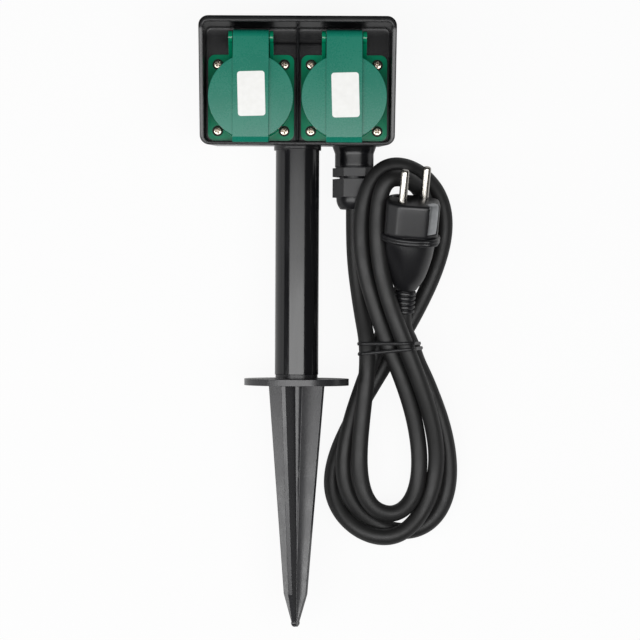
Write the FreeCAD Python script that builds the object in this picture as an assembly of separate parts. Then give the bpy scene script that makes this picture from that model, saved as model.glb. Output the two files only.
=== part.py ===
import FreeCAD, Part
import math
import os

# Garden socket: two covered outlets under a rain visor, on a round post with a ground spike. It lies
# on its back, with its supply cord tied in a hank beside it and the plug on top. Millimetres.
# X runs across the housing, Y along the post towards the visor and Z out of the outlets.
# The origin is in the rear plane, on the line of the post, halfway along the whole length.

# Whole object
overall_length = 350.0

# Housing: its width and length follow from the two outlet plates and the room round them
room_beside_plates = 5.0
room_below_plates = 3.2
room_above_plates = 20.6
housing_draft = 3.4
housing_corner = 5.5
side_wall = 2.4
visor_wall = 3.4
lower_wall = 1.8
rear_wall = 2.4
visor_height = 21.0
lower_rim_height = 9.0
visor_edge = 7.0
panel_thickness = 2.5
panel_over_post = 2.05
rib_width = 1.1
rib_height = 8.0
pocket_depth = 3.0
pocket_half_width = 36.0
pocket_front = 2.1
pocket_floor = 2.5
pocket_gap = 0.2
cut_out_depth = 6.5
column_radius = 3.8
column_side = 6.3
column_end = 6.1

# Rear cover, its gasket and screws
cover_thickness = 2.5
gasket_thickness = 0.8
lip_height = 2.5
lip_width = 1.2
lip_gap = 0.3
screw_clearance = 0.2
rear_screw_radius = 1.5
rear_screw_head = 3.05
rear_screw_length = 14.0

# Outlets: from the standard cup outwards
gap_between_plates = 4.0
plate_beyond_lid = 0.4
plate_corner = 4.0
plate_thickness = 3.0
plate_gasket_thickness = 1.0
collar_height = 7.2
collar_wall = 2.6
cup_radius = 19.8
cup_depth = 17.5
cup_wall = 1.6
cup_floor = 2.0
cut_out_gap = 0.5
key_width = 4.0
key_rise = 1.6
pin_hole_radius = 2.5
pin_spacing = 19.0
plate_screw_inset = 5.6
plate_screw_radius = 1.4
plate_screw_head = 2.3
plate_screw_head_height = 1.5
screw_boss_radius = 3.2
screw_boss_height = 1.6
screw_tip = 0.3
fit_gap = 0.05

# Contacts behind each outlet
block_inset = 0.3
block_depth = 20.7
sleeve_radius = 3.6
sleeve_bore = 2.45
sleeve_slit = 0.8
terminal_radius = 3.2
terminal_length = 5.0
block_back_wall = 1.0
clip_width = 4.8
clip_thickness = 0.8
clip_inset = 2.0
clip_slot_gap = 0.4
clip_pinch = 1.8
clip_below_edge = 4.0

# Lids
lid_gap = 0.7
lid_wall = 1.1
lid_top = 2.5
lid_skirt_lap = 0.8
lid_seal_gap = 0.3
lid_seal_thickness = 1.5
lid_seal_lap = 0.9
lid_seal_inner = 17.0
strap_width = 20.4
strap_rise = 1.5
tab_overhang = 1.8
tab_bevel = 2.9
tab_bevel_drop = 2.0
hinge_behind_lid = 9.7
barrel_radius = 4.2
ear_radius = 3.5
ear_thickness = 2.2
ear_gap = 0.4
hinge_pin_radius = 1.5
hinge_fit = 0.1
spring_radius = 2.9
spring_bore = 1.9
spring_gap = 0.3
spring_leg_radius = 0.45
barrel_end_wall = 2.2

# Post and ground spike
post_radius = 12.6
post_wall = 1.7
post_length = 140.1
post_depth_in_housing = 9.3
boss_wall = 1.0
collar_reach = 0.9
post_stop = 2.0
post_end_gap = 0.1
spigot_length = 23.2
neck_radius = 12.2
neck_length = 2.4
flange_radius = 30.3
flange_thickness = 3.8
spike_root = 17.4
spike_shoulder = 7.0
spike_shoulder_from_tip = 19.0
spike_point = 2.0
fin_thickness = 2.6
core_root = 4.5
core_point = 1.5
spike_turn = 25.5

# Cord gland
gland_offset = 33.1
gland_height = 13.5
spout_radius = 11.3
spout_flare = 12.9
spout_length = 9.6
flare_length = 4.5
gland_shank = 9.5
gland_across_flats = 22.0
gland_hex_length = 5.1
gland_hex_gap = 0.6
gland_nut_gap = 1.3
gland_thread_radius = 8.6
gland_thread_length = 9.0
gland_nut_length = 10.8
dome_length = 6.8
dome_radius = 8.0
dome_shoulder = 10.4
seal_radius = 7.4
cord_clearance = 0.2
cord_in_dome = 4.2

# Cord
cord_diameter = 9.6
core_radius = 1.1
core_spread = 2.3
core_plane = 7.0
core_bend = 3.0

# Hank: the cord swings between the lower and the upper lobes and crosses at the waist.
# Lobe after lobe: how far it reaches from the waist, its half width, its fullness and its lean.
waist_y = -11.5
lobe_reach = [100.0, 104.5, 113.5, 98.0, 109.5]
lobe_side = [14.5, 26.0, 31.0, 16.5, 28.0]
lobe_full = [-0.08, 0.10, 0.08, 0.02, 0.06]
lobe_lean = [2.5, 4.5, -5.5, 4.5, -1.5]
# Middle line of the lobes at each waist and each lobe end, then the height eight times a round.
hank_lane = [44.5, 53.5, 53.0, 58.0, 57.0, 51.5, 63.5, 58.0, 47.5, 63.5, 63.5]
hank_height = [
    25.5, 25.0, 20.5, 15.0, 26.0, 30.0, 26.0, 6.5, 6.5, 5.5, 18.5,
    13.0, 32.0, 36.5, 36.5, 10.0, 14.0, 17.0, 6.5, 6.0, 17.0,
]
hank_start_angle = 24.0
hank_end_angle = 888.0
hank_step = 24.0

# Free stretches of the cord, from the gland to the hank and from the hank to the plug
gland_run_points = [
    (33.1, 53.5, 13.5), (34.0, 35.5, 13.2), (36.2, 18.5, 14.6),
    (38.5, 4.0, 18.0), (40.7, -8.0, 22.0), (41.2, -20.0, 24.8),
]
gland_run_last = 10.0
plug_run_first = 6.0
plug_run_points = [(66.8, -11.0, 19.6)]
plug_run_last = 8.0

# Twist tie: two bands round the waist and the twisted ends
tie_thickness = 0.8
tie_width = 2.0
tie_gap = 0.3
tie_first = 0.8
tie_spacing = 5.0
tie_knot_radius = 1.1
tie_tail = (4.5, 3.0, 3.5)

# Plug: octagonal front, collar, grip and ribbed strain relief, along its own axis
plug_x = 69.0
plug_y = 69.4
plug_height = 42.3
plug_lean = 4.4
plug_rise = 15.0
plug_roll = 48.0
plug_pin_half = 17.5
plug_earth_half = 16.2
plug_pin_flat = 4.6
plug_earth_flat = 5.0
plug_front_edge = 1.2
plug_front_length = 21.2
plug_collar_radius = 17.1
plug_collar_length = 5.4
plug_lug_width = 8.0
plug_lug_rise = 1.4
grip_radius = 13.8
grip_waist = 12.9
grip_neck = 10.8
grip_tail = 6.4
grip_length = 25.6
relief_length = 14.0
relief_radius = 5.3
relief_rib_radius = 6.3
relief_ribs = 5
plug_pin_radius = 2.4
plug_pin_length = 19.0
plug_pin_root = 11.0
plug_pin_root_radius = 1.7
earth_strip_width = 6.0
earth_strip_length = 15.0
earth_strip_thickness = 0.8
earth_strip_proud = 0.3
earth_hole_radius = 2.5
earth_hole_offset = 10.0
earth_hole_depth = 14.0

Vector = FreeCAD.Vector
along_x = Vector(1, 0, 0)
along_y = Vector(0, 1, 0)
along_z = Vector(0, 0, 1)

# Sizes, levels and places that follow from the sizes above
collar_radius = cup_radius + collar_wall
lid_radius = collar_radius + lid_gap + lid_wall
plate_size = 2 * (lid_radius + plate_beyond_lid)
plate_screw_spacing = plate_size - 2 * plate_screw_inset
outlet_offset = (plate_size + gap_between_plates) / 2
tab_reach = lid_radius + tab_overhang
hinge_distance = lid_radius + hinge_behind_lid
block_radius = cup_radius - block_inset
clip_spread = cup_radius - clip_inset
housing_width = 2 * (outlet_offset + plate_size / 2 + room_beside_plates)
housing_length = room_below_plates + plate_size + room_above_plates
housing_top = overall_length / 2
housing_low = housing_top - housing_length
housing_rear = cover_thickness + gasket_thickness
post_height = flange_radius
post_bore = post_radius + fit_gap
panel_top = post_height + post_bore + panel_over_post
panel_back = panel_top - panel_thickness
housing_depth = panel_top + visor_height
outlet_y = housing_low + room_below_plates + plate_size / 2
cut_out_radius = cup_radius + cup_wall + cut_out_gap
plate_back = panel_top + plate_gasket_thickness
plate_top = plate_back + plate_thickness
collar_top = plate_top + collar_height
cup_bottom = collar_top - cup_depth
block_top = cup_bottom - cup_floor
block_back = block_top - block_depth
lid_under = collar_top + lid_seal_gap + lid_seal_thickness
lid_face = lid_under + lid_top
strap_top = lid_face + strap_rise
hinge_z = strap_top - barrel_radius
hinge_y = outlet_y + hinge_distance
post_collar_end = housing_low - collar_reach
post_stop_y = post_collar_end + boss_wall + post_depth_in_housing
post_top = post_stop_y - post_end_gap
post_foot = post_top - post_length
spout_end = housing_low - spout_length
spike_tip = housing_top - overall_length


def block(x0, x1, y0, y1, z0, z1):
    """Box between two corners."""
    return Part.makeBox(x1 - x0, y1 - y0, z1 - z0, Vector(x0, y0, z0))


def rod(radius, start, end):
    """Round bar from one point to another."""
    way = end - start
    return Part.makeCylinder(radius, way.Length, start, way)


def disc(radius, x, y, z0, z1):
    """Round bar along Z."""
    return rod(radius, Vector(x, y, z0), Vector(x, y, z1))


def rounded_top(shape, radius):
    """Bar along Z with its upper edge rounded."""
    top = shape.BoundBox.ZMax
    edges = [edge for edge in shape.Edges if edge.BoundBox.ZMin > top - 1e-4]
    return shape.makeFillet(radius, edges)


def prism_x(outline, x0, x1):
    """Outline of (y, z) points, extruded along X."""
    points = [Vector(x0, y, z) for y, z in outline]
    face = Part.Face(Part.makePolygon(points + points[:1]))
    return face.extrude(Vector(x1 - x0, 0, 0))


def fused(first, others):
    """One solid out of several that meet."""
    return first.fuse(others).removeSplitter()


def rounded_wire(x0, x1, y0, y1, z, radius):
    """Rectangle with round corners at height z."""
    left, right, low, high = x0 + radius, x1 - radius, y0 + radius, y1 - radius
    centres = [(right, high), (left, high), (left, low), (right, low)]
    corners = []
    for quarter, (x, y) in enumerate(centres):
        angles = [math.radians(90 * quarter + half * 45) for half in range(3)]
        corners.append([Vector(x + radius * math.cos(a), y + radius * math.sin(a), z) for a in angles])
    edges = []
    for index, corner in enumerate(corners):
        following = corners[(index + 1) % 4]
        edges.append(Part.Arc(*corner).toShape())
        edges.append(Part.LineSegment(corner[2], following[0]).toShape())
    return Part.Wire(edges)


def rounded_plate(x0, x1, y0, y1, z0, z1, radius):
    """Flat plate with round corners."""
    return Part.Face(rounded_wire(x0, x1, y0, y1, z0, radius)).extrude(Vector(0, 0, z1 - z0))


def drafted(z0, z1, side, low, top):
    """The housing's tapered outer form between two heights, drawn in by the given walls."""
    wires = []
    for z in (z0, z1):
        taper = housing_draft * (1 - z / housing_depth)
        half = housing_width / 2 - taper - side
        y0 = housing_low + taper + low
        y1 = housing_top - taper - top
        radius = max(housing_corner - side, housing_corner / 4)
        wires.append(rounded_wire(-half, half, y0, y1, z, radius))
    return Part.makeLoft(wires, True, True)


def lower_edge(z):
    """Where the housing's lower wall has its outer face at height z."""
    return housing_low + housing_draft * (1 - z / housing_depth)


def column_places():
    """Centres of the four screw columns in the corners."""
    half = housing_width / 2 - housing_draft - column_side
    low = lower_edge(0) + column_end
    high = housing_top - housing_draft - column_end
    return [(side * half, y) for side in (-1, 1) for y in (low, high)]


def plate_screw_places(x):
    """Centres of the four screws of the outlet plate at x."""
    half = plate_screw_spacing / 2
    return [(x + i * half, outlet_y + j * half) for i in (-1, 1) for j in (-1, 1)]


def make_housing():
    """Main moulding: visor, slanting rim, panel, rib, post boss, gland spout and screw columns."""
    shell = drafted(housing_rear, housing_depth, 0, 0, 0)
    lip_y = housing_top - visor_edge
    lip_z = panel_top + lower_rim_height
    slope = (housing_depth - lip_z) / (lip_y - housing_low)
    before = housing_low - visor_edge
    front = [(lip_y, housing_depth), (before, lip_z + slope * (before - housing_low)),
             (before, housing_depth + visor_edge), (lip_y, housing_depth + visor_edge)]
    shell = shell.cut(prism_x(front, -housing_width, housing_width))
    shell = shell.cut(drafted(housing_rear - 1, panel_back, rear_wall, rear_wall, rear_wall))

    boss_radius = post_bore + boss_wall
    boss_start = Vector(0, post_collar_end, post_height)
    boss = rod(boss_radius, boss_start, Vector(0, post_stop_y + post_stop, post_height))
    wall_y = lower_edge(gland_height)
    gland_mouth = Vector(gland_offset, spout_end, gland_height)
    gland_wall = Vector(gland_offset, wall_y, gland_height)
    spout = rod(spout_radius, gland_mouth, gland_wall)
    flare_start = Vector(gland_offset, wall_y - flare_length, gland_height)
    spout = spout.fuse(Part.makeCone(spout_radius, spout_flare, flare_length, flare_start, along_y))
    spout = spout.fuse(rod(spout_flare, gland_wall, gland_wall + along_y * rear_wall))
    spout = spout.cut(block(0, housing_width, wall_y, housing_top, -spout_flare, housing_rear))
    parts = [boss, spout]
    for x, y in column_places():
        parts.append(disc(column_radius, x, y, housing_rear, panel_back + 1))
    for x in (-outlet_offset, outlet_offset):
        for sx, sy in plate_screw_places(x):
            parts.append(disc(screw_boss_radius, sx, sy, panel_back - screw_boss_height, panel_back + 1))
    pocket_y = hinge_y - pocket_front
    visor_inside = housing_top - housing_draft * (1 - panel_top / housing_depth) - visor_wall
    pocket_end = visor_inside - pocket_gap
    floor_z = panel_top - pocket_depth
    pad = block(-pocket_half_width - pocket_floor, pocket_half_width + pocket_floor, pocket_y - pocket_floor,
                pocket_end + 0.5, floor_z - pocket_floor, panel_back + 1)
    parts.append(pad)
    shell = shell.fuse(parts)

    recess = drafted(panel_top, housing_depth + 1, side_wall, lower_wall, visor_wall)
    pocket = block(-pocket_half_width, pocket_half_width, pocket_y, pocket_end, floor_z, panel_top + 1)
    cuts = [recess, pocket]
    for x in (-outlet_offset, outlet_offset):
        cuts.append(disc(cut_out_radius, x, outlet_y, panel_back - cut_out_depth, panel_top + 1))
        for sx, sy in plate_screw_places(x):
            tip = panel_back - screw_tip
            cuts.append(disc(plate_screw_radius + fit_gap, sx, sy, tip - fit_gap, panel_top + 1))
    for x, y in column_places():
        cuts.append(disc(rear_screw_radius + fit_gap, x, y, housing_rear - 1, rear_screw_length + 1))
    shank_bore = gland_shank + fit_gap
    cuts.append(rod(shank_bore, gland_mouth - along_y, gland_wall + along_y * 4))
    shell = shell.cut(cuts)

    rib_low = lower_edge(panel_top) + lower_wall - 0.6
    rib = block(-rib_width / 2, rib_width / 2, rib_low, pocket_end + 0.8, panel_top - pocket_depth - 0.1,
                panel_top + rib_height)
    bore = rod(post_bore, Vector(0, post_collar_end - 1, post_height), Vector(0, post_stop_y, post_height))
    return fused(shell, [rib]).cut(bore)


def make_rear_cover():
    """Closed back with a lip that centres it in the housing."""
    cover = drafted(0, cover_thickness, 0, 0, 0)
    inset = rear_wall + lip_gap
    top = housing_rear + lip_height
    lip = drafted(cover_thickness, top, inset, inset, inset)
    deep = inset + lip_width
    lip = lip.cut(drafted(cover_thickness, top + 1, deep, deep, deep))
    for x, y in column_places():
        lip = lip.cut(disc(column_radius + lip_gap + screw_clearance, x, y, cover_thickness, top + 1))
    cover = cover.fuse(lip)
    hole = rear_screw_radius + screw_clearance
    mouth = rear_screw_head + screw_clearance
    for x, y in column_places():
        cover = cover.cut(disc(hole, x, y, -1, cover_thickness + 1))
        cover = cover.cut(Part.makeCone(mouth, hole, mouth - hole, Vector(x, y, 0), along_z))
    return cover


def make_rear_gasket():
    """Flat ring between the cover and the housing's rear edge."""
    ring = drafted(cover_thickness, housing_rear, 0.2, 0.2, 0.2)
    inset = rear_wall - 0.2
    return ring.cut(drafted(cover_thickness - 1, housing_rear + 1, inset, inset, inset))


def make_rear_screws():
    """Four countersunk screws."""
    screws = []
    taper = rear_screw_head - rear_screw_radius
    for x, y in column_places():
        head = Part.makeCone(rear_screw_head, rear_screw_radius, taper, Vector(x, y, 0), along_z)
        screws.append(head.fuse(disc(rear_screw_radius, x, y, taper, rear_screw_length)).removeSplitter())
    return Part.makeCompound(screws)


def outlet_plate(x, z0, z1):
    """Square plate with round corners, centred on the outlet at x."""
    half = plate_size / 2
    return rounded_plate(x - half, x + half, outlet_y - half, outlet_y + half, z0, z1, plate_corner)


def make_plate_gasket(x):
    """Square gasket under the outlet plate."""
    ring = outlet_plate(x, panel_top, plate_back)
    ring = ring.cut(disc(cut_out_radius, x, outlet_y, panel_top - 1, plate_back + 1))
    for sx, sy in plate_screw_places(x):
        ring = ring.cut(disc(plate_screw_radius + screw_clearance, sx, sy, panel_top - 1, plate_back + 1))
    return ring


def make_plate_screws(x):
    """Four pan-head screws that hold the outlet plate."""
    screws = []
    for sx, sy in plate_screw_places(x):
        shaft = disc(plate_screw_radius, sx, sy, panel_back - screw_tip, plate_top)
        head = disc(plate_screw_head, sx, sy, plate_top, plate_top + plate_screw_head_height)
        head = rounded_top(head, plate_screw_head_height * 0.6)
        screws.append(head.fuse(shaft).removeSplitter())
    return Part.makeCompound(screws)


def ear_spans(x):
    """Where the two ears stand beside the hinge barrel of the lid at x."""
    inner = strap_width / 2 + ear_gap
    outer = inner + ear_thickness
    return [(x - outer, x - inner), (x + inner, x + outer)]


def make_socket_plate(x):
    """Outlet plate with collar, cup, key ribs and hinge ears."""
    plate = outlet_plate(x, plate_back, plate_top)
    collar = disc(collar_radius, x, outlet_y, plate_back, collar_top)
    cup = disc(cup_radius + cup_wall, x, outlet_y, block_top, plate_back + 1)
    edge = outlet_y + plate_size / 2
    start = edge - 3.5
    parts = [collar, cup]
    for x0, x1 in ear_spans(x):
        arm = [(start, plate_back), (edge, plate_back), (hinge_y + ear_radius, hinge_z),
               (hinge_y - ear_radius, hinge_z), (start, plate_top + 0.5)]
        parts.append(prism_x(arm, x0, x1))
        parts.append(rod(ear_radius, Vector(x0, hinge_y, hinge_z), Vector(x1, hinge_y, hinge_z)))
    plate = plate.fuse(parts)
    plate = plate.cut(disc(cup_radius, x, outlet_y, cup_bottom, collar_top + 1))
    keys = []
    for side in (-1, 1):
        x0, x1 = sorted((x + side * (cup_radius - key_rise), x + side * (cup_radius + cup_wall / 2)))
        y0 = outlet_y - key_width / 2
        keys.append(block(x0, x1, y0, y0 + key_width, cup_bottom - 0.5, collar_top - 1.5))
    plate = fused(plate, keys)
    cuts = []
    for side in (-1, 1):
        hole_x = x + side * pin_spacing / 2
        cuts.append(disc(pin_hole_radius, hole_x, outlet_y, block_top - 1, cup_bottom + 1))
        cuts.append(clip_slot(x, side, block_top - 1, cup_bottom + 1))
    for sx, sy in plate_screw_places(x):
        cuts.append(disc(plate_screw_radius + screw_clearance, sx, sy, plate_back - 1, plate_top + 1))
    for x0, x1 in ear_spans(x):
        hole = hinge_pin_radius + fit_gap
        cuts.append(rod(hole, Vector(x0 - 1, hinge_y, hinge_z), Vector(x1 + 1, hinge_y, hinge_z)))
    leg_start, leg_end = spring_leg_ends(x)
    cuts.append(rod(spring_leg_radius + 0.15, leg_start, leg_end + along_x * 0.2))
    return plate.cut(cuts)


def clip_slot(x, side, z0, z1):
    """Slot that one side of the earth clip passes through."""
    half = clip_width / 2 + 0.5
    inner = clip_spread - clip_thickness - clip_slot_gap
    y0, y1 = sorted((outlet_y + side * inner, outlet_y + side * (clip_spread + clip_slot_gap)))
    return block(x - half, x + half, y0, y1, z0, z1)


def make_contact_block(x):
    """Insulating block behind the cup, with pockets for the two sleeves."""
    body = disc(block_radius, x, outlet_y, block_back, block_top)
    cuts = []
    for side in (-1, 1):
        sx = x + side * pin_spacing / 2
        pocket = block_back + block_back_wall
        cuts.append(disc(sleeve_radius + 0.1, sx, outlet_y, pocket, block_top + 1))
        cuts.append(disc(terminal_radius + 0.1, sx, outlet_y, block_back - 1, pocket + 1))
        cuts.append(clip_slot(x, side, block_back - 1, block_top + 1))
    return body.cut(cuts)


def make_contact_sleeves(x):
    """Two slit sleeves that grip the pins, each with its terminal."""
    sleeves = []
    foot = block_back + block_back_wall
    for side in (-1, 1):
        sx = x + side * pin_spacing / 2
        sleeve = disc(sleeve_radius, sx, outlet_y, foot, block_top - 0.5)
        sleeve = sleeve.cut(disc(sleeve_bore, sx, outlet_y, foot + 2, block_top))
        slit = block(sx - sleeve_radius - 1, sx + sleeve_radius + 1, outlet_y - sleeve_slit / 2,
                     outlet_y + sleeve_slit / 2, foot + 5, block_top)
        terminal = disc(terminal_radius, sx, outlet_y, foot - terminal_length, foot)
        sleeves.append(sleeve.cut(slit).fuse(terminal).removeSplitter())
    return Part.makeCompound(sleeves)


def make_earth_clips(x):
    """Bent strip under the contact block whose ends stand in the cup as the earth contacts."""
    out = clip_spread
    thick = clip_thickness
    low = block_back - thick
    bend = cup_bottom + 2.5
    top = collar_top - clip_below_edge
    pinch = (bend + top) / 2
    half = [(0, low), (out, low), (out, bend), (out - clip_pinch, pinch), (out - 0.2, top),
            (out - thick - 0.2, top), (out - clip_pinch - thick, pinch), (out - thick, bend),
            (out - thick, block_back), (0, block_back)]
    sides = []
    for side in (-1, 1):
        outline = [(outlet_y + side * y, z) for y, z in half]
        sides.append(prism_x(outline, x - clip_width / 2, x + clip_width / 2))
    return fused(sides[0], sides[1:])


def make_lid(x):
    """Round lid with a raised strap that runs from the hinge barrel to the thumb tab."""
    skirt_end = collar_top - lid_skirt_lap
    cap = disc(lid_radius, x, outlet_y, skirt_end, lid_face)
    cap = cap.cut(disc(lid_radius - lid_wall, x, outlet_y, skirt_end - 1, lid_under))
    tab = outlet_y - tab_reach
    half = strap_width / 2
    side = [(tab, lid_under), (tab, strap_top - tab_bevel_drop), (tab + tab_bevel, strap_top),
            (hinge_y, strap_top), (hinge_y, lid_under)]
    strap = prism_x(side, x - half, x + half)
    left = Vector(x - half, hinge_y, hinge_z)
    right = Vector(x + half, hinge_y, hinge_z)
    lid = fused(cap, [strap, rod(barrel_radius, left, right)])
    lid = lid.cut(rod(hinge_pin_radius + hinge_fit, left - along_x, right + along_x))
    return lid.cut(rod(spring_radius + spring_gap, left + along_x * barrel_end_wall, right + along_x))


def make_lid_seal(x):
    """Flat ring under the lid that meets the collar."""
    outer = collar_radius - lid_seal_lap
    z0 = lid_under - lid_seal_thickness
    ring = disc(outer, x, outlet_y, z0, lid_under)
    return ring.cut(disc(lid_seal_inner, x, outlet_y, z0 - 1, lid_under + 1))


def make_hinge_pin(x):
    """Pin through both ears and the barrel."""
    outer = strap_width / 2 + ear_gap + ear_thickness
    return rod(hinge_pin_radius, Vector(x - outer, hinge_y, hinge_z), Vector(x + outer, hinge_y, hinge_z))


def spring_leg_ends(x):
    """Ends of the spring's leg, which stands in the right ear."""
    radius = (spring_radius + spring_bore) / 2
    start = Vector(x + strap_width / 2 - 1, hinge_y, hinge_z + radius)
    return start, start + along_x * (1 + ear_gap + ear_thickness * 0.7)


def make_lid_spring(x):
    """Closing spring round the pin, as a sleeve of its outer size with its leg."""
    half = strap_width / 2
    start = Vector(x - half + barrel_end_wall + spring_gap, hinge_y, hinge_z)
    end = Vector(x + half - spring_gap, hinge_y, hinge_z)
    sleeve = rod(spring_radius, start, end).cut(rod(spring_bore, start - along_x, end + along_x))
    return fused(sleeve, [rod(spring_leg_radius, *spring_leg_ends(x))])


def make_post():
    """Round tube from the housing's boss to the flange of the spike."""
    start = Vector(0, post_foot, post_height)
    end = Vector(0, post_top, post_height)
    return rod(post_radius, start, end).cut(rod(post_radius - post_wall, start - along_y, end + along_y))


def make_ground_spike():
    """Spigot, neck, foot flange and the spike, a cross of two tapering plates with a core."""
    axis = Vector(0, 0, post_height)
    neck_end = post_foot - neck_length
    flange_end = neck_end - flange_thickness
    spigot_radius = post_radius - post_wall - 0.2
    spigot = rod(spigot_radius, axis + along_y * neck_end, axis + along_y * (post_foot + spigot_length))
    neck = rod(neck_radius, axis + along_y * flange_end, axis + along_y * post_foot)
    flange = rod(flange_radius, axis + along_y * flange_end, axis + along_y * neck_end)

    shoulder_y = spike_tip + spike_shoulder_from_tip
    point_y = spike_tip + spike_point * 1.5
    root = flange_end + 0.5
    right = [Vector(spike_root, root, 0), Vector(spike_shoulder, shoulder_y, 0),
             Vector(spike_point, point_y, 0)]
    left = [Vector(-p.x, p.y, 0) for p in reversed(right)]
    tip = Part.Arc(right[-1], Vector(0, spike_tip, 0), left[0])
    lines = Part.makePolygon(left + right)
    profile = Part.Face(Part.Wire(lines.Edges + [tip.toShape()]))
    profile.translate(Vector(0, 0, -fin_thickness / 2))
    plate = profile.extrude(Vector(0, 0, fin_thickness))
    core_length = root - shoulder_y
    core = Part.makeCone(core_point, core_root, core_length, Vector(0, shoulder_y, 0), along_y)
    fins = [core]
    for turn in (90 - spike_turn, -spike_turn):
        fin = plate.copy()
        fin.rotate(Vector(0, 0, 0), along_y, turn)
        fins.append(fin)
    cross = fins[0].fuse(fins[1:])
    cross.translate(axis)
    return fused(flange, [neck, spigot, cross])


def on_gland(y):
    """Point on the axis of the gland."""
    return Vector(gland_offset, y, gland_height)


def hexagon(y0, y1):
    """Hexagonal bar on the axis of the gland, with a flat on top."""
    corner = gland_across_flats / 2 / math.cos(math.radians(30))
    points = []
    for step in range(7):
        angle = math.radians(60 * step)
        points.append(on_gland(y0) + Vector(corner * math.cos(angle), 0, corner * math.sin(angle)))
    return Part.Face(Part.makePolygon(points)).extrude(Vector(0, y1 - y0, 0))


gland_hex_end = spout_end - gland_hex_gap
gland_hex_start = gland_hex_end - gland_hex_length
gland_nut_end = gland_hex_start - gland_nut_gap
gland_nut_start = gland_nut_end - gland_nut_length
gland_mouth_y = gland_nut_start - dome_length
gland_thread_end = gland_hex_start - gland_thread_length
cord_radius = cord_diameter / 2
cord_bore = cord_radius + cord_clearance
cord_start_y = gland_mouth_y + cord_in_dome


def make_gland_body():
    """Hexagon with a shank in the spout and a thread for the nut."""
    inner_end = lower_edge(gland_height) + rear_wall
    body = hexagon(gland_hex_start, gland_hex_end)
    shank = rod(gland_shank, on_gland(gland_hex_start), on_gland(inner_end))
    washer = rod(spout_radius - 0.4, on_gland(gland_hex_start), on_gland(spout_end))
    thread = rod(gland_thread_radius, on_gland(gland_thread_end), on_gland(gland_hex_start))
    body = body.fuse([shank, washer, thread])
    body = body.cut(rod(cord_bore + 0.2, on_gland(gland_thread_end - 1), on_gland(inner_end + 1)))
    seat = rod(seal_radius + 0.1, on_gland(gland_thread_end - 1), on_gland(gland_hex_start))
    return body.cut(seat).removeSplitter()


def make_gland_seal():
    """Rubber ring that the nut presses on to the cord."""
    start = on_gland(gland_thread_end + 0.3)
    end = on_gland(gland_hex_start)
    return rod(seal_radius, start, end).cut(rod(cord_radius + 0.1, start - along_y, end + along_y))


def make_gland_nut():
    """Hexagonal cap nut with a round nose that the cord leaves through."""
    nut = hexagon(gland_nut_start, gland_nut_end)
    base = Vector(dome_shoulder, gland_nut_start, 0)
    middle = Vector((dome_shoulder + dome_radius) / 2 + 0.7, gland_nut_start - dome_length * 0.55, 0)
    end = Vector(dome_radius, gland_mouth_y, 0)
    lines = Part.makePolygon([end, Vector(0, gland_mouth_y, 0), Vector(0, gland_nut_start, 0), base])
    profile = Part.Face(Part.Wire(lines.Edges + [Part.Arc(base, middle, end).toShape()]))
    dome = profile.revolve(Vector(0, 0, 0), along_y, 360)
    dome.translate(on_gland(0))
    nut = nut.fuse(dome)
    thread = rod(gland_thread_radius + 0.1, on_gland(gland_thread_end - 0.5), on_gland(gland_nut_end + 1))
    mouth = rod(cord_bore, on_gland(gland_mouth_y - 1), on_gland(gland_nut_end))
    return nut.cut([thread, mouth]).removeSplitter()


def arc_between(start, apex, end):
    """Arc that leaves start towards the apex and arrives at end from it."""
    middle = (start + end) * 0.5
    half = (end - start).Length / 2
    rise = (apex - middle).Length
    if rise < half * 1e-4:
        return Part.LineSegment(start, end).toShape()
    sag = half * math.tan(math.atan2(rise, half) / 2)
    return Part.Arc(start, middle + (apex - middle) * (sag / rise), end).toShape()


def run_wire(points, largest=None):
    """Straight runs joined by tangent arcs, and the list of their radii."""
    edges = []
    radii = []
    last = points[0]
    for before, corner, after in zip(points, points[1:], points[2:]):
        way_in = (corner - before).normalize()
        way_out = (after - corner).normalize()
        half_turn = way_in.getAngle(way_out) / 2
        shorter = min((corner - before).Length, (after - corner).Length)
        radius = 0.45 * shorter / math.tan(half_turn)
        if largest:
            radius = min(radius, largest)
        leg = radius * math.tan(half_turn)
        start = corner - way_in * leg
        end = corner + way_out * leg
        edges.append(Part.LineSegment(last, start).toShape())
        edges.append(arc_between(start, corner, end))
        radii.append(round(radius, 1))
        last = end
    edges.append(Part.LineSegment(last, points[-1]).toShape())
    return Part.Wire(edges), radii


def swept(wire, radius):
    """Round tube along a wire."""
    first = wire.Edges[0]
    start = first.valueAt(first.FirstParameter)
    way = first.tangentAt(first.FirstParameter)
    pipe = Part.BRepOffsetAPI.MakePipeShell(wire)
    pipe.add(Part.Wire(Part.makeCircle(radius, start, way)))
    pipe.build()
    pipe.makeSolid()
    return pipe.shape()


def core_wire(points):
    """One insulated core, as a thin tube with rounded bends."""
    wire, radii = run_wire([Vector(*p) for p in points], core_bend)
    return swept(wire, core_radius)


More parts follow.
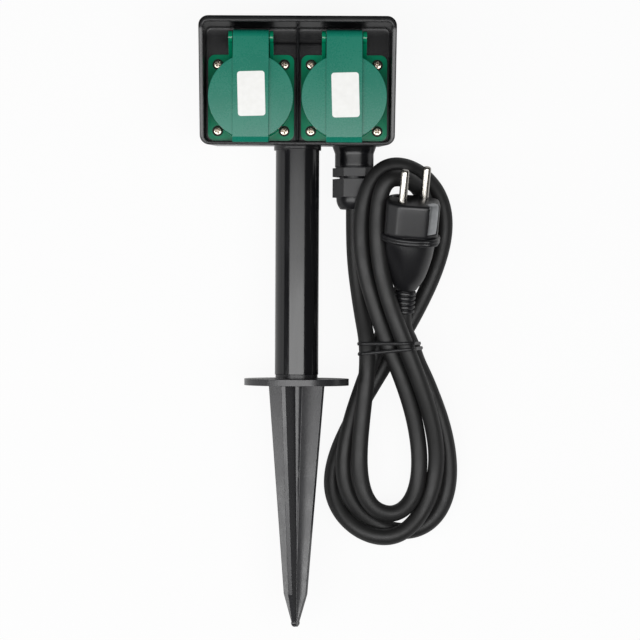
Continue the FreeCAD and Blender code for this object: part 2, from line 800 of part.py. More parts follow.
def make_inner_leads():
    """End of the cord inside the housing, its three cores and the links to the other outlet."""
    stub_end = lower_edge(gland_height) + rear_wall + 2.0
    stub = rod(cord_radius, on_gland(cord_start_y), on_gland(stub_end))
    level = core_plane
    terminal = block_back + block_back_wall - terminal_length
    half = pin_spacing / 2
    beside = 1.6
    exit_z = gland_height - 2.5
    cores = []
    earth = block_back - clip_thickness
    feeds = [(core_spread, half, terminal), (-core_spread, -half, terminal), (0, 0, earth)]
    for spread, offset, end_z in feeds:
        start_x = gland_offset + spread
        end_x = outlet_offset + offset - beside
        points = [(start_x, stub_end, exit_z), (start_x, stub_end + 2.5, exit_z),
                  (end_x, stub_end + 9.5, level), (end_x, outlet_y, level), (end_x, outlet_y, end_z)]
        cores.append(core_wire(points))
    for offset, end_z, rise in [(-half, terminal, 7.0), (0, earth, 11.0), (half, terminal, 15.0)]:
        end_x = outlet_offset + offset + beside
        side_y = outlet_y + rise
        points = [(end_x, outlet_y, end_z), (end_x, outlet_y, level), (end_x, side_y, level)]
        mirror = [(-x, y, z) for x, y, z in reversed(points)]
        cores.append(core_wire(points + mirror))
    return Part.makeCompound([stub] + cores)


def blend(keys, place):
    """Smooth value between the keys at a fractional place."""
    index = min(int(place), len(keys) - 2)
    share = (1 - math.cos(math.pi * (place - index))) / 2
    return keys[index] * (1 - share) + keys[index + 1] * share


def curve(keys, place):
    """Value at a fractional place on a smooth curve through the keys."""
    index = min(int(place), len(keys) - 2)
    part = place - index
    longer = [2 * keys[0] - keys[1]] + keys + [2 * keys[-1] - keys[-2]]
    slope_in = (longer[index + 2] - longer[index]) / 2
    slope_out = (longer[index + 3] - longer[index + 1]) / 2
    rest = 1 - part
    value = keys[index] * rest ** 2 * (1 + 2 * part) + keys[index + 1] * part ** 2 * (3 - 2 * part)
    return value + slope_in * part * rest ** 2 - slope_out * part ** 2 * rest


def hank_point(angle):
    """Centre of the cord in the hank; 180 degrees lead from one waist to the next."""
    lobe = min(int(angle // 180), len(lobe_reach) - 1)
    within = math.radians(angle - 180 * lobe)
    way = -1 if lobe % 2 == 0 else 1
    y = waist_y + way * lobe_reach[lobe] * math.sin(within)
    place = min(max(angle / 180 - 0.5, 0), len(lobe_reach) - 1)
    turn = math.radians(2 * angle)
    swing = math.sin(turn) + blend(lobe_full, place) * math.sin(2 * turn)
    x = blend(hank_lane, angle / 90) - blend(lobe_side, place) * swing
    x = x + blend(lobe_lean, place) * math.sin(turn) ** 2
    return Vector(x, y, curve(hank_height, angle / 45))


def hank_way(angle):
    """Direction of the cord in the hank."""
    return (hank_point(angle + 0.5) - hank_point(angle - 0.5)).normalize()


def biarc(start, way_in, end, way_out):
    """Two tangent arcs from one point and direction to another."""
    chord = end - start
    both = way_in + way_out
    square = 2 * (1 - way_in.dot(way_out))
    linear = chord.dot(both)
    reach = (-linear + math.sqrt(linear ** 2 + square * chord.dot(chord))) / square
    first = start + way_in * reach
    second = end - way_out * reach
    joint = (first + second) * 0.5
    return [arc_between(start, first, joint), arc_between(joint, second, end)]


hank_start = hank_point(hank_start_angle)
hank_start_way = hank_way(hank_start_angle)
hank_end = hank_point(hank_end_angle)
hank_end_way = hank_way(hank_end_angle)
hank_entry = hank_start - hank_start_way * cord_diameter
hank_exit = hank_end + hank_end_way * cord_diameter


def make_cord_hank():
    """The hank: one unbroken tube on arcs, with straight ends."""
    steps = round((hank_end_angle - hank_start_angle) / hank_step)
    angles = [hank_start_angle + (hank_end_angle - hank_start_angle) * i / steps for i in range(steps + 1)]
    edges = [Part.LineSegment(hank_entry, hank_start).toShape()]
    for first, second in zip(angles, angles[1:]):
        edges += biarc(hank_point(first), hank_way(first), hank_point(second), hank_way(second))
    edges.append(Part.LineSegment(hank_end, hank_exit).toShape())
    wire = Part.Wire(edges)
    radii = [edge.Curve.Radius for edge in wire.Edges if hasattr(edge.Curve, "Radius")]
    line = wire.discretize(Distance=2.5)
    apart = int(3 * cord_diameter / 2.5)
    least = min((a - b).Length for i, a in enumerate(line) for b in line[i + apart:])
    tube = swept(wire, cord_radius)
    expected = math.pi * cord_radius ** 2 * wire.Length
    print("cord_hank least gap", round(least - cord_diameter, 2), "least radius", round(min(radii), 1))
    print("cord_hank length", round(wire.Length, 1), "volume share", round(tube.Volume / expected, 4))
    return tube


def free_run(name, points):
    """Free stretch of the cord through chosen points."""
    wire, radii = run_wire(points)
    tube = swept(wire, cord_radius)
    expected = math.pi * cord_radius ** 2 * wire.Length
    share = round(tube.Volume / expected, 4)
    print(name, "length", round(wire.Length, 1), "radii", radii, "volume share", share)
    return tube


def gland_run():
    """Points of the cord from the gland to the hank."""
    chosen = [Vector(*point) for point in gland_run_points]
    return [on_gland(cord_start_y)] + chosen + [hank_entry - hank_start_way * gland_run_last, hank_entry]


def plug_run():
    """Points of the cord from the hank to the strain relief of the plug."""
    chosen = [Vector(*point) for point in plug_run_points]
    last = [plug_point(0, 0, -plug_length - plug_run_last), plug_point(0, 0, -plug_length)]
    return [hank_exit, hank_exit + hank_end_way * plug_run_first] + chosen + last


def strands_at(y):
    """Where the six strands of the waist cross the plane at y: x, z and slope across."""
    waists = [180 * index for index in range(1, len(lobe_reach))]
    spans = [(hank_point(angle - 5), hank_point(angle + 5)) for angle in waists]
    for run in (gland_run(), plug_run()):
        spans += [(a, b) for a, b in zip(run, run[1:]) if (a.y - y) * (b.y - y) <= 0]
    found = []
    for a, b in spans:
        share = (y - a.y) / (b.y - a.y)
        at = a + (b - a) * share
        found.append((at.x, at.z, abs((b.x - a.x) / (b.y - a.y))))
    return found


def hull(points):
    """Convex outline of (x, z) points, in order."""
    ordered = sorted(points)
    chains = []
    for sequence in (ordered, ordered[::-1]):
        chain = []
        for x, z in sequence:
            while len(chain) > 1:
                (ax, az), (bx, bz) = chain[-2:]
                if (bx - ax) * (z - az) - (bz - az) * (x - ax) > 0:
                    break
                chain.pop()
            chain.append((x, z))
        chains += chain[:-1]
    return chains


def tie_band(y0, y1):
    """Thin band pulled round the six strands between two planes."""
    centres = []
    for y in (y0, y1):
        for x, z, slope in strands_at(y):
            spare = cord_radius * (math.hypot(1, slope) - 1)
            centres += [(x - spare, z), (x + spare, z)]
    outline = [Vector(x, y0, z) for x, z in hull(centres)]
    polygon = Part.makePolygon(outline + outline[:1])
    inner = polygon.makeOffset2D(cord_radius + tie_gap)
    outer = polygon.makeOffset2D(cord_radius + tie_gap + tie_thickness)
    width = Vector(0, y1 - y0, 0)
    return Part.Face(outer).extrude(width).cut(Part.Face(inner).extrude(width))


def tie_side(y):
    """Where the twisted ends lie against the band at y, on its right."""
    edges = [y - tie_width / 2, y + tie_width / 2]
    strands = [strand for edge in edges for strand in strands_at(edge)]
    x, z, slope = max(strands, key=lambda strand: strand[0])
    reach = cord_radius * math.hypot(1, slope) + tie_gap + tie_thickness
    return Vector(x + reach + tie_knot_radius * 0.4, y, z)


def make_cord_tie():
    """Two bands round the waist and the twisted ends that join them."""
    first = waist_y + tie_first
    second = first - tie_spacing
    bands = [tie_band(y - tie_width / 2, y + tie_width / 2) for y in (first, second)]
    upper = tie_side(first)
    knot = rod(tie_knot_radius, tie_side(second), upper)
    tail = rod(tie_knot_radius * 0.8, upper, upper + Vector(*tie_tail))
    return fused(bands[0], [bands[1], knot, tail])


plug_length = plug_front_length + plug_collar_length + grip_length + relief_length
lean = math.radians(plug_lean)
rise = math.radians(plug_rise)
roll = math.radians(plug_roll)
plug_nose = Vector(math.sin(lean) * math.cos(rise), math.cos(lean) * math.cos(rise), math.sin(rise))
plug_side = Vector(math.cos(lean), -math.sin(lean), 0)
plug_up = plug_side.cross(plug_nose)
plug_pin_way = plug_up * math.sin(roll) - plug_side * math.cos(roll)
plug_earth_way = plug_up * math.cos(roll) + plug_side * math.sin(roll)
plug_origin = Vector(plug_x, plug_y, plug_height)


def plug_point(pin, earth, nose):
    """Point given in the plug's own directions."""
    return plug_origin + plug_pin_way * pin + plug_earth_way * earth + plug_nose * nose


def placed(shape):
    """Shape built round the Z axis, moved to where the plug lies."""
    p, e, n, o = plug_pin_way, plug_earth_way, plug_nose, plug_origin
    matrix = FreeCAD.Matrix(p.x, e.x, n.x, o.x, p.y, e.y, n.y, o.y, p.z, e.z, n.z, o.z, 0, 0, 0, 1)
    moved = shape.copy()
    moved.transformShape(matrix)
    return moved


def octagon(inset, z):
    """Outline of the plug's front, drawn in by an inset."""
    a, b = plug_pin_half - inset, plug_pin_flat
    c, d = plug_earth_flat, plug_earth_half - inset
    points = [(a, -b), (a, b), (c, d), (-c, d), (-a, b), (-a, -b), (-c, -d), (c, -d)]
    wire = [Vector(x, y, z) for x, y in points]
    return Part.makePolygon(wire + wire[:1])


def earth_strip_place(side, depth, proud, length, width):
    """Box on one earth side of the plug."""
    y0, y1 = sorted((side * (plug_earth_half - depth), side * (plug_earth_half + proud)))
    return block(-width / 2, width / 2, y0, y1, -length, 0)


def make_plug_body():
    """Moulded plug: octagonal front, collar with lug, swept grip and ribbed strain relief."""
    front = [octagon(plug_front_edge, 0), octagon(0, -plug_front_edge), octagon(0, -plug_front_length)]
    body = Part.makeLoft(front, True, True)
    collar_end = -plug_front_length - plug_collar_length
    grip_end = collar_end - grip_length
    collar = disc(plug_collar_radius, 0, 0, collar_end, -plug_front_length)
    lug_half = plug_lug_width / 2
    lug_top = plug_collar_radius + plug_lug_rise
    lug = block(-lug_half, lug_half, 0, lug_top, collar_end, -plug_front_length)

    neck = collar_end - grip_length * 0.6
    shoulder = Vector(grip_radius, 0, collar_end)
    waist = Vector(grip_waist, 0, collar_end - grip_length * 0.33)
    bend = Vector(grip_neck, 0, neck)
    slope = Vector((grip_neck + grip_tail) / 2 - 0.2, 0, (neck + grip_end) / 2 - 1)
    tail = Vector(grip_tail, 0, grip_end)
    sides = [Part.Arc(shoulder, waist, bend).toShape(), Part.Arc(bend, slope, tail).toShape()]
    lines = Part.makePolygon([tail, Vector(0, 0, grip_end), Vector(0, 0, collar_end), shoulder])
    profile = Part.Face(Part.Wire(sides + lines.Edges))
    grip = profile.revolve(Vector(0, 0, 0), along_z, 360)

    relief = [disc(relief_radius, 0, 0, -plug_length, grip_end)]
    pitch = relief_length / relief_ribs
    for index in range(relief_ribs):
        top = grip_end - index * pitch - pitch * 0.45
        relief.append(disc(relief_rib_radius, 0, 0, top - pitch * 0.55, top))
    body = fused(body, [collar, lug, grip] + relief)

    cuts = []
    for side in (-1, 1):
        cuts.append(disc(plug_pin_root_radius + fit_gap, side * pin_spacing / 2, 0, -plug_pin_root, 1))
        cuts.append(earth_strip_place(side, earth_strip_thickness, 1, earth_strip_length, earth_strip_width))
    cuts.append(disc(earth_hole_radius, 0, -earth_hole_offset, -earth_hole_depth, 1))
    return placed(body.cut(cuts))


def make_plug_pins():
    """Two round pins with rounded tips, seated in the plug."""
    pins = []
    for side in (-1, 1):
        x = side * pin_spacing / 2
        pin = rounded_top(disc(plug_pin_radius, x, 0, 0, plug_pin_length), plug_pin_radius * 0.6)
        pins.append(placed(pin.fuse(disc(plug_pin_root_radius, x, 0, -plug_pin_root, 0))))
    return Part.makeCompound(pins)


def make_plug_earth_contacts():
    """Two earth strips on the sides of the plug."""
    strips = []
    for side in (-1, 1):
        width = earth_strip_width - 2 * fit_gap
        strip = earth_strip_place(side, earth_strip_thickness, earth_strip_proud, earth_strip_length, width)
        reach = plug_earth_half * 2
        front = block(-width, width, -reach, reach, -plug_front_edge, 1)
        strips.append(placed(strip.cut(front)))
    return Part.makeCompound(strips)


def make_parts():
    """Every sub-part by its name."""
    parts = {
        "housing": make_housing(),
        "rear_cover": make_rear_cover(),
        "rear_gasket": make_rear_gasket(),
        "rear_screws": make_rear_screws(),
        "post": make_post(),
        "ground_spike": make_ground_spike(),
        "gland_body": make_gland_body(),
        "gland_seal": make_gland_seal(),
        "gland_nut": make_gland_nut(),
        "inner_leads": make_inner_leads(),
        "cord_gland_run": free_run("cord_gland_run", gland_run()),
        "cord_hank": make_cord_hank(),
        "cord_plug_run": free_run("cord_plug_run", plug_run()),
        "cord_tie": make_cord_tie(),
        "plug_body": make_plug_body(),
        "plug_pins": make_plug_pins(),
        "plug_earth_contacts": make_plug_earth_contacts(),
    }
    makers = {
        "socket_plate": make_socket_plate,
        "plate_gasket": make_plate_gasket,
        "plate_screws": make_plate_screws,
        "contact_block": make_contact_block,
        "contact_sleeves": make_contact_sleeves,
        "earth_clips": make_earth_clips,
        "lid": make_lid,
        "lid_seal": make_lid_seal,
        "hinge_pin": make_hinge_pin,
        "lid_spring": make_lid_spring,
    }
    for side, x in (("left", -outlet_offset), ("right", outlet_offset)):
        for name, maker in makers.items():
            parts[name + "_" + side] = maker(x)
    return parts


def main():
    os.makedirs("parts", exist_ok=True)
    for name, shape in make_parts().items():
        shape.exportStep(os.path.join("parts", name + ".step"))
        print(name, len(shape.Solids), "solids", shape.isValid(), round(shape.Volume))


main()
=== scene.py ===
import bmesh
import bpy
import math
from mathutils import Matrix, Vector


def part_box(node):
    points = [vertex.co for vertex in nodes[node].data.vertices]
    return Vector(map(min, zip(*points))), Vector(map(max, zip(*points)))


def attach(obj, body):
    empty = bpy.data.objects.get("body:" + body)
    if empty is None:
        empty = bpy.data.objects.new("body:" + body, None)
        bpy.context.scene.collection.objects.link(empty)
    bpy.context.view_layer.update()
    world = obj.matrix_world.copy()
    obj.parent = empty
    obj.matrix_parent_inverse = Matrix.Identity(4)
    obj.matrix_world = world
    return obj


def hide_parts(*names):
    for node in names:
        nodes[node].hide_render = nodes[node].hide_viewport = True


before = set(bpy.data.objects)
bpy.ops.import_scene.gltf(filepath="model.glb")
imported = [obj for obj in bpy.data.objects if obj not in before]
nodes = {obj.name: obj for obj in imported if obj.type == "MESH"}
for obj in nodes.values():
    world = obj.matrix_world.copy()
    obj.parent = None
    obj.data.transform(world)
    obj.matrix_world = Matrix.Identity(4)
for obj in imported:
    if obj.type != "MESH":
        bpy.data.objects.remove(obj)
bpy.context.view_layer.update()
mm = 0.001

# Camera
# The photograph looks straight down on the garden socket, which lies on its back on a white table.
# A long lens a metre and a half above keeps the post and the cord nearly free of perspective, and a turn
# of a quarter of a degree follows the post, which isn't quite upright in the photograph.
camera_data = bpy.data.cameras.new("camera")
camera_data.sensor_fit = "HORIZONTAL"
camera_data.sensor_width = 36.0
camera_data.lens = 142.6
camera = bpy.data.objects.new("camera", camera_data)
camera.location = (13.44 * mm, 2.82 * mm, 1500 * mm)
camera.rotation_euler = (0, 0, math.radians(0.275))
bpy.context.scene.collection.objects.link(camera)
bpy.context.scene.camera = camera
bpy.context.scene.view_settings.view_transform = "Standard"


# Housing
# One injection-moulded shell of black ABS: visor, slanting rim, panel, rib, post boss and gland spout.
# The mould gives it a satin skin with a fine spark-eroded grain that shines softly on the walls.
def linear(code):
    """Linear colour of an sRGB hex value."""
    shades = [int(code[i:i + 2], 16) / 255 for i in (0, 2, 4)]
    return [s / 12.92 if s <= 0.04045 else ((s + 0.055) / 1.055) ** 2.4 for s in shades] + [1.0]


def add(tree, kind, sockets=None, **settings):
    """Adds a node; each socket gets a value, or a link where an output is given."""
    node = tree.nodes.new(kind)
    for name, value in settings.items():
        setattr(node, name, value)
    for name, value in (sockets or {}).items():
        if isinstance(value, bpy.types.NodeSocket):
            tree.links.new(value, node.inputs[name])
        else:
            node.inputs[name].default_value = value
    return node


def started(name):
    """New material with its node tree, its shader and the place on the object that patterns follow."""
    material = bpy.data.materials.new(name)
    material.use_nodes = True
    tree = material.node_tree
    place = add(tree, "ShaderNodeTexCoord").outputs["Object"]
    return material, tree, tree.nodes["Principled BSDF"], place


# ABS, polypropylene, nylon and rubber all refract close to 1.5. Wear starts where a rounded edge has turned
# about 6 degrees away from its face and is full at 37 degrees; the two bounds are the cosines.
# Grains are 0.4 to 1.2 mm, coarser than the real 0.1 mm or so, because finer ones wouldn't show.
polymer_ior = 1.5
wear_starts, wear_full, most_wear = 0.995, 0.80, 0.7
mottle = 1.22


def moulded(name, shade, worn, rough, grain, depth, edge=0.35, patch=14.0, stretch=(1, 1, 1)):
    """Polymer: shade and worn edge as hex, roughness range; grain, depth, edge and patch in mm."""
    material, tree, shader, place = started(name)
    shader.inputs["IOR"].default_value = polymer_ior
    laid = add(tree, "ShaderNodeMapping", {"Vector": place, "Scale": stretch}).outputs["Vector"]
    cloud = add(tree, "ShaderNodeTexNoise", {"Vector": place, "Scale": 1 / (patch * mm), "Detail": 4.0})
    fine = add(tree, "ShaderNodeTexNoise", {"Vector": laid, "Scale": 1 / (grain * mm), "Detail": 3.0})
    rounded = add(tree, "ShaderNodeBevel", {"Radius": edge * mm}, samples=6).outputs["Normal"]
    flat = add(tree, "ShaderNodeNewGeometry").outputs["Normal"]
    facing = add(tree, "ShaderNodeVectorMath", {0: rounded, 1: flat}, operation="DOT_PRODUCT")
    rub = add(tree, "ShaderNodeMapRange", {"Value": facing.outputs["Value"], "From Min": wear_starts,
                                           "From Max": wear_full, "To Min": 0.0, "To Max": most_wear})
    fleck = add(tree, "ShaderNodeMath", {0: rub.outputs["Result"], 1: cloud.outputs["Fac"]},
                operation="MULTIPLY")
    lighter = add(tree, "ShaderNodeMix", {0: cloud.outputs["Fac"], 6: linear(shade),
                                          7: [c * mottle for c in linear(shade)[:3]] + [1.0]},
                  data_type="RGBA")
    colour = add(tree, "ShaderNodeMix", {0: fleck.outputs["Value"], 6: lighter.outputs[2],
                                         7: linear(worn)}, data_type="RGBA")
    tree.links.new(colour.outputs[2], shader.inputs["Base Color"])
    mixed = add(tree, "ShaderNodeMath", {0: cloud.outputs["Fac"], 1: fine.outputs["Fac"]},
                operation="ADD")
    gloss = add(tree, "ShaderNodeMapRange", {"Value": mixed.outputs["Value"], "From Min": 0.7,
                                             "From Max": 1.3, "To Min": rough[0], "To Max": rough[1]})
    tree.links.new(gloss.outputs["Result"], shader.inputs["Roughness"])
    bump = add(tree, "ShaderNodeBump", {"Height": fine.outputs["Fac"], "Distance": depth * mm,
                                        "Strength": 0.6, "Normal": rounded})
    bump.name = "grain"
    tree.links.new(bump.outputs["Normal"], shader.inputs["Normal"])
    return material


def finish(material, *names):
    """Gives CAD nodes a material."""
    for name in names:
        nodes[name].material_slots[0].material = material


housing_abs = moulded("satin_moulded_black_abs", "0b0b0d", "242426", (0.17, 0.26), 0.6, 0.01, 2.0)
finish(housing_abs, "housing")


# Rear cover, its gasket and screws
# A flat ABS plate closes the back over a rubber ring, with four countersunk steel screws. The plate is
# duller than the housing because it has a coarser grain. The screws are nickel plated with a cross recess.
cover_abs = moulded("grained_black_abs", "1b1b1d", "3c3c3e", (0.42, 0.55), 0.8, 0.05)
finish(cover_abs, "rear_cover")
seal_rubber = moulded("matt_black_nitrile_rubber", "121212", "202020", (0.7, 0.82), 0.5, 0.02, 0.15)
finish(seal_rubber, "rear_gasket")


def metal(name, shade, dull, rough, scratch, depth=0.01, edge=0.2):
    """Plated or bare metal: two shades as hex, roughness range; scratch, depth and edge in mm."""
    material, tree, shader, place = started(name)
    shader.inputs["Metallic"].default_value = 1.0
    stain = 2.5 * mm
    cloud = add(tree, "ShaderNodeTexNoise", {"Vector": place, "Scale": 1 / stain, "Detail": 5.0})
    lines = add(tree, "ShaderNodeTexNoise", {"Vector": place, "Scale": 1 / (scratch * mm), "Detail": 2.0})
    colour = add(tree, "ShaderNodeMix", {0: cloud.outputs["Fac"], 6: linear(shade), 7: linear(dull)},
                 data_type="RGBA")
    tree.links.new(colour.outputs[2], shader.inputs["Base Color"])
    gloss = add(tree, "ShaderNodeMapRange", {"Value": cloud.outputs["Fac"], "From Min": 0.35,
                                             "From Max": 0.65, "To Min": rough[0], "To Max": rough[1]})
    tree.links.new(gloss.outputs["Result"], shader.inputs["Roughness"])
    rounded = add(tree, "ShaderNodeBevel", {"Radius": edge * mm}, samples=4).outputs["Normal"]
    bump = add(tree, "ShaderNodeBump", {"Height": lines.outputs["Fac"], "Distance": depth * mm,
                                        "Strength": 0.3, "Normal": rounded})
    tree.links.new(bump.outputs["Normal"], shader.inputs["Normal"])
    return material


def turned(profile, steps):
    """Mesh turned round Z from (radius, height) points in mm; a radius of 0 closes it."""
    mesh = bmesh.new()
    angles = [2 * math.pi * step / steps for step in range(steps)]
    rings = []
    for radius, height in [(r * mm, z * mm) for r, z in profile]:
        places = [(radius * math.cos(a), radius * math.sin(a), height) for a in angles]
        rings.append([mesh.verts.new(place) for place in (places if radius else [(0, 0, height)])])
    for low, high in zip(rings, rings[1:]):
        for step in range(steps):
            after = (step + 1) % steps
            corners = [low[step % len(low)], low[after % len(low)], high[after % len(high)],
                       high[step % len(high)]]
            unique = [c for i, c in enumerate(corners) if c not in corners[:i]]
            mesh.faces.new(unique)
    bmesh.ops.recalc_face_normals(mesh, faces=mesh.faces[:])
    return mesh


def as_object(mesh, name, angle=35):
    """Object from a bmesh, smooth except over edges sharper than the angle."""
    data = bpy.data.meshes.new(name)
    mesh.to_mesh(data)
    mesh.free()
    made = bpy.data.objects.new(name, data)
    bpy.context.scene.collection.objects.link(made)
    data.shade_smooth()
    data.set_sharp_from_angle(angle=math.radians(angle))
    return made


def skin(mesh, rings, closed=False):
    """Faces from ring to ring, with a cap at both ends where the row of rings isn't closed."""
    for low, high in zip(rings, rings[1:] + (rings[:1] if closed else [])):
        for step in range(len(low)):
            after = (step + 1) % len(low)
            mesh.faces.new([low[step], low[after], high[after], high[step]])
    if not closed:
        mesh.faces.new(rings[0])
        mesh.faces.new(rings[-1])
    bmesh.ops.recalc_face_normals(mesh, faces=mesh.faces[:])


def cross_recess(top, depth, reach, half):
    """Tapered cross that a screwdriver tip fits, as a cutter that stands in the head from above."""
    mesh = bmesh.new()
    rings = []
    for share, height in ((1.15, top + 0.4 * mm), (1.0, top), (0.45, top - depth)):
        r, h = reach * share, half * min(share + 0.15, 1.0)
        outline = [(r, -h), (r, h), (h, h), (h, r), (-h, r), (-h, h),
                   (-r, h), (-r, -h), (-h, -h), (-h, -r), (h, -r), (h, -h)]
        rings.append([mesh.verts.new((x, y, height)) for x, y in outline])
    skin(mesh, rings)
    return as_object(mesh, "cutter")


def mesh_of(thing):
    """Mesh data of an object as its curve or its modifiers make it."""
    return bpy.data.meshes.new_from_object(thing.evaluated_get(bpy.context.evaluated_depsgraph_get()))


def cut_out(blank, cutter):
    """Mesh data of the blank without the cutter's space; both objects are used up."""
    cut = blank.modifiers.new("cut", "BOOLEAN")
    cut.operation = "DIFFERENCE"
    cut.solver = "EXACT"
    cut.object = cutter
    ready = mesh_of(blank)
    for used in (blank, cutter):
        bpy.data.objects.remove(used)
    return ready


def recessed_screw(profile, top, depth, reach, half):
    """Mesh data of one screw, turned and then cut with a cross recess."""
    return cut_out(as_object(turned(profile, 48), "blank"), cross_recess(top, depth, reach, half))


def gathered(pieces):
    """One mesh from several."""
    whole = bmesh.new()
    for piece in pieces:
        data = bpy.data.meshes.new("gathered")
        piece.to_mesh(data)
        piece.free()
        whole.from_mesh(data)
    return whole


# Degrees by which the screws' recesses differ: the first, from one to the next, and all on the right side.
first_turn, turn_apart, right_turn = 17, 41, 33.3


def screw_set(name, data, places, material, flip=False):
    """Several screws of one kind as one piece, each turned to where its recess stopped."""
    singles = []
    for index, (x, y, z) in enumerate(places):
        single = bmesh.new()
        single.from_mesh(data)
        turn = math.radians(first_turn + turn_apart * index + (right_turn if x > 0 else 0))
        for vert in single.verts:
            px, py, pz = vert.co
            if flip:
                py, pz = -py, -pz
            vert.co = (x + px * math.cos(turn) - py * math.sin(turn),
                       y + px * math.sin(turn) + py * math.cos(turn), z + pz)
        singles.append(single)
    made = as_object(gathered(singles), name, 30)
    made.data.materials.append(material)
    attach(made, "base")
    return made


nickel = metal("nickel_plated_steel", "d2c7ba", "9c9082", (0.18, 0.3), 0.15)
head_radius = 3.05
rear_profile = [(0, 0), (head_radius, 0), (head_radius, -0.12), (1.5, -1.6), (1.5, -13.2), (0.5, -14.0),
                (0, -14.0)]
rear_screw = recessed_screw(rear_profile, 0, 1.5 * mm, 1.7 * mm, 0.42 * mm)
low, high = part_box("rear_screws")
inset = head_radius * mm
corners = [(x, y, 0) for x in (low.x + inset, high.x - inset) for y in (low.y + inset, high.y - inset)]
rear_screws = screw_set("rear_screws_recessed", rear_screw, corners, nickel, flip=True)
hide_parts("rear_screws")


# Outlet plates with their gaskets
# Each outlet is one moulding of glossy green polypropylene: plate, collar, cup and hinge ears, polished
# in the mould so that its edges catch the light. A thin rubber gasket lies under it.
plate_green = moulded("glossy_green_polypropylene", "00704f", "2f9c7c", (0.07, 0.12), 0.9, 0.003, 0.5)
for side in ("left", "right"):
    finish(plate_green, "socket_plate_" + side)
    finish(seal_rubber, "plate_gasket_" + side)


# Plate screws
# Four pan-head screws per plate, nickel-plated steel with a cross recess, seated on the green plate.
# The plating has a warm tint and small stains, and the recess reads dark. A thin rubber ring under each
# head keeps rain out.
pan_profile = [(0, 1.5), (1.5, 1.46), (2.1, 1.3), (2.45, 0.95), (2.55, 0.5), (2.5, 0.25), (1.4, 0.25),
               (1.4, -6.2), (0.5, -6.8), (0, -6.8)]
pan_screw = recessed_screw(pan_profile, 1.47 * mm, 1.3 * mm, 1.55 * mm, 0.42 * mm)
washer_profile = [(1.45, 0.4), (2.75, 0.4), (3.05, 0.28), (3.1, 0.0), (1.45, 0.0), (1.45, 0.4)]
outlet_x, outlet_y = 26.6 * mm, 129.8 * mm
screw_half, plate_top = 19.0 * mm, 49.0 * mm
for side, way in (("left", -1), ("right", 1)):
    places = [(way * outlet_x + i * screw_half, outlet_y + j * screw_half, plate_top)
              for i in (-1, 1) for j in (-1, 1)]
    screws = screw_set("plate_screws_recessed_" + side, pan_screw, places, nickel)
    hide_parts("plate_screws_" + side)
    ring_mesh = bpy.data.meshes.new("ring")
    ring = turned(washer_profile, 40)
    ring.to_mesh(ring_mesh)
    ring.free()
    seals = screw_set("screw_rings_" + side, ring_mesh, places, seal_rubber)


# Contacts
# Behind each cup an insulating block of pale mineral-filled nylon holds two slit brass sleeves, and a
# bent brass strip stands in the cup as the earth contacts. They show when a lid is open.
block_nylon = moulded("mineral_filled_nylon", "c9c4b8", "d8d4ca", (0.5, 0.62), 0.7, 0.03)
brass = metal("bare_brass", "c9a15a", "8d6a34", (0.2, 0.36), 0.2)
for side in ("left", "right"):
    finish(block_nylon, "contact_block_" + side)
    finish(brass, "contact_sleeves_" + side, "earth_clips_" + side)


# Lids with their seals, hinge pins and springs
# Each lid is a round cap of satin green polypropylene with a raised strap from the hinge barrel to the
# thumb tab. A steel pin runs through it, and a steel coil round the pin closes it on a rubber ring.
lid_green = moulded("satin_green_polypropylene", "0f705c", "459a84", (0.24, 0.31), 0.8, 0.01, 0.4, 22.0)
# The pin and coil steel is painted dark grey as painted shade, so that it reads as shaded in the narrow gap
# between the ears and the barrel, without glints.
steel = metal("shade_darkened_spring_steel", "3a3a3c", "2c2c2e", (0.34, 0.46), 0.12)


def crown(material, centre, per_metre):
    """Slight dome of a cap round a centre, the same on both sides of the middle, as bump."""
    tree = material.node_tree
    grain = tree.nodes["grain"]
    place = add(tree, "ShaderNodeTexCoord").outputs["Object"]
    folded = add(tree, "ShaderNodeVectorMath", {0: place}, operation="ABSOLUTE").outputs[0]
    away = add(tree, "ShaderNodeVectorMath", {0: folded, 1: centre}, operation="SUBTRACT").outputs[0]
    level = add(tree, "ShaderNodeVectorMath", {0: away, 1: (1, 1, 0)}, operation="MULTIPLY").outputs[0]
    square = add(tree, "ShaderNodeVectorMath", {0: level, 1: level}, operation="DOT_PRODUCT")
    rounded = grain.inputs["Normal"].links[0].from_socket
    dome = add(tree, "ShaderNodeBump", {"Height": square.outputs["Value"], "Distance": per_metre,
                                        "Strength": 1.0, "Normal": rounded}, invert=True)
    tree.links.new(dome.outputs["Normal"], grain.inputs["Normal"])


# A height of 0.8 times the squared distance in metres bends the cap by 0.5 mm from its middle to its edge.
cap_bend = 0.8
crown(lid_green, (outlet_x, outlet_y, 0), cap_bend)
for side in ("left", "right"):
    finish(lid_green, "lid_" + side)
    finish(seal_rubber, "lid_seal_" + side)
    finish(steel, "hinge_pin_" + side)


def ways(points, closed=False):
    """Direction of a line of points at each of them."""
    before = points[-1:] + points[:-1] if closed else points[:1] + points[:-1]
    after = points[1:] + points[:1] if closed else points[1:] + points[-1:]
    return [(b - a).normalized() for a, b in zip(before, after)]


def round_wire(name, points, radius):
    """Round wire along a line of points, without twist."""
    sides = 10
    angles = [2 * math.pi * step / sides for step in range(sides)]
    mesh = bmesh.new()
    rings = []
    across = ways(points)[0].orthogonal().normalized()
    for point, way in zip(points, ways(points)):
        across = (across - way * across.dot(way)).normalized()
        up = way.cross(across)
        rings.append([mesh.verts.new(point + (across * math.cos(a) + up * math.sin(a)) * radius)
                      for a in angles])
    skin(mesh, rings)
    return as_object(mesh, name, 50)


